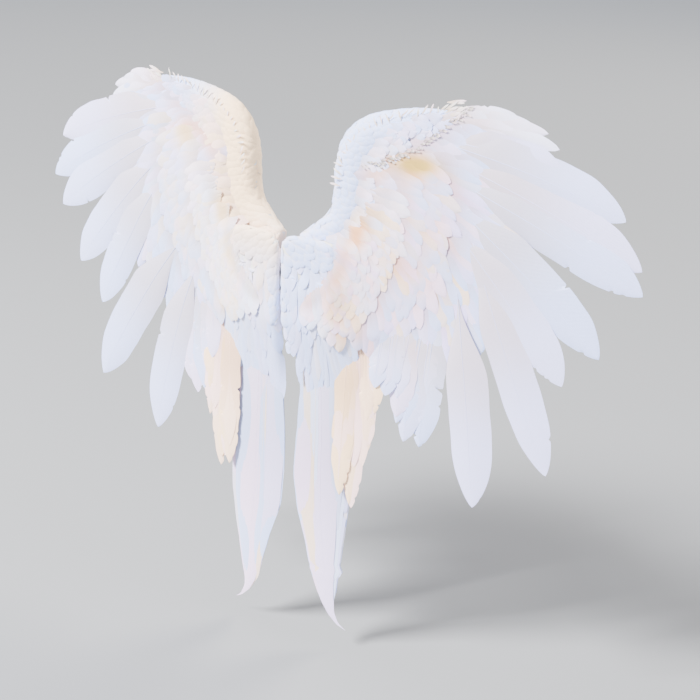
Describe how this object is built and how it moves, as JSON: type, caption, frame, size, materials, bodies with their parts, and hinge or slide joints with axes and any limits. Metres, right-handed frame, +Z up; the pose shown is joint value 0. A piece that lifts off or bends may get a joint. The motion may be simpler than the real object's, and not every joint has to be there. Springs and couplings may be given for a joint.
{
  "type": "feathered costume wings",
  "caption": "Large white feathered costume wings that hinge back from a padded back plate worn with shoulder straps.",
  "frame": {"origin": "centre of the back pad's front face, where it rests on the wearer's back", "axes": "+Y towards the wearer, +X to the right seen from behind, +Z up"},
  "size_m": [1.2935, 0.2363, 1.0245],
  "materials": {
    "feather_white": "matt, faint sheen",
    "feather_cream": "matt",
    "plume_white": "matt, soft",
    "edge_cover": "matt, short feathers on cloth",
    "core_lining": "matt woven lining",
    "plate": "fine moulded texture",
    "pad_cover": "spacer mesh",
    "webbing": "woven ribs",
    "bracket_metal": "satin",
    "pin_steel": "turned",
    "slider_plastic": "moulded"
  },
  "bodies": {
    "harness": {"back_plate": "plate", "back_pad": "pad_cover", "bracket_bolts": "pin_steel", "bracket_nuts": "pin_steel", "hinge_bracket_right": "bracket_metal", "hinge_pin_right": "pin_steel", "shoulder_strap_right": "webbing", "shoulder_pad_right": "pad_cover", "hinge_bracket_left": "bracket_metal", "hinge_pin_left": "pin_steel", "shoulder_strap_left": "webbing", "shoulder_pad_left": "pad_cover"},
    "socket_right": {"wing_socket_right": "bracket_metal"},
    "screw_right": {"socket_screw_right": "pin_steel"},
    "slider_right": {"strap_slider_right": "slider_plastic"},
    "wing_right": {"spar_rods_right": "bracket_metal", "wing_core_right": "core_lining", "edge_roll_right": "edge_cover", "root_pad_right": "feather_white", "primary_1_right": "feather_white", "primary_2_right": "feather_white", "primary_3_right": "feather_white", "primary_4_right": "feather_white", "primary_5_right": "feather_white", "primary_6_right": "feather_white", "primary_7_right": "feather_white", "primary_8_right": "feather_white", "secondaries_right": "feather_white", "tertials_right": "feather_cream", "plume_right": "plume_white", "greater_coverts_right": "feather_white", "median_coverts_right": "feather_white", "lesser_coverts_right": "feather_white", "marginal_coverts_right": "edge_cover", "under_coverts_right": "feather_white"},
    "socket_left": {"wing_socket_left": "bracket_metal"},
    "screw_left": {"socket_screw_left": "pin_steel"},
    "slider_left": {"strap_slider_left": "slider_plastic"},
    "wing_left": {"spar_rods_left": "bracket_metal", "wing_core_left": "core_lining", "edge_roll_left": "edge_cover", "root_pad_left": "feather_white", "primary_1_left": "feather_white", "primary_2_left": "feather_white", "primary_3_left": "feather_white", "primary_4_left": "feather_white", "primary_5_left": "feather_white", "primary_6_left": "feather_white", "primary_7_left": "feather_white", "primary_8_left": "feather_white", "secondaries_left": "feather_white", "tertials_left": "feather_cream", "plume_left": "plume_white", "greater_coverts_left": "feather_white", "median_coverts_left": "feather_white", "lesser_coverts_left": "feather_white", "marginal_coverts_left": "edge_cover", "under_coverts_left": "feather_white"}
  },
  "joints": [
    {"name": "wing_fold_right", "type": "hinge", "parent": "harness", "child": "socket_right", "pos_m": [0.04, -0.083, 0], "axis": [0, 0, -1], "range_deg": [0, 60]},
    {"name": "wing_release_right", "type": "slide", "parent": "socket_right", "child": "wing_right", "axis": [0.9925, 0.1219, 0], "range_m": [0, 0.054]},
    {"name": "screw_turn_right", "type": "hinge", "parent": "socket_right", "child": "screw_right", "pos_m": [0.0816, -0.06076, 0], "axis": [-0.1219, 0.9925, 0], "range_deg": [-720, 0]},
    {"name": "slider_travel_right", "type": "slide", "parent": "harness", "child": "slider_right", "axis": [0, 0, 1], "range_m": [-0.012, 0.012]},
    {"name": "wing_fold_left", "type": "hinge", "parent": "harness", "child": "socket_left", "pos_m": [-0.04, -0.083, 0], "axis": [0, 0, 1], "range_deg": [0, 60]},
    {"name": "wing_release_left", "type": "slide", "parent": "socket_left", "child": "wing_left", "axis": [-0.9925, 0.1219, 0], "range_m": [0, 0.054]},
    {"name": "screw_turn_left", "type": "hinge", "parent": "socket_left", "child": "screw_left", "pos_m": [-0.0816, -0.06076, 0], "axis": [0.1219, 0.9925, 0], "range_deg": [-720, 0]},
    {"name": "slider_travel_left", "type": "slide", "parent": "harness", "child": "slider_left", "axis": [0, 0, 1], "range_m": [-0.012, 0.012]}
  ]
}
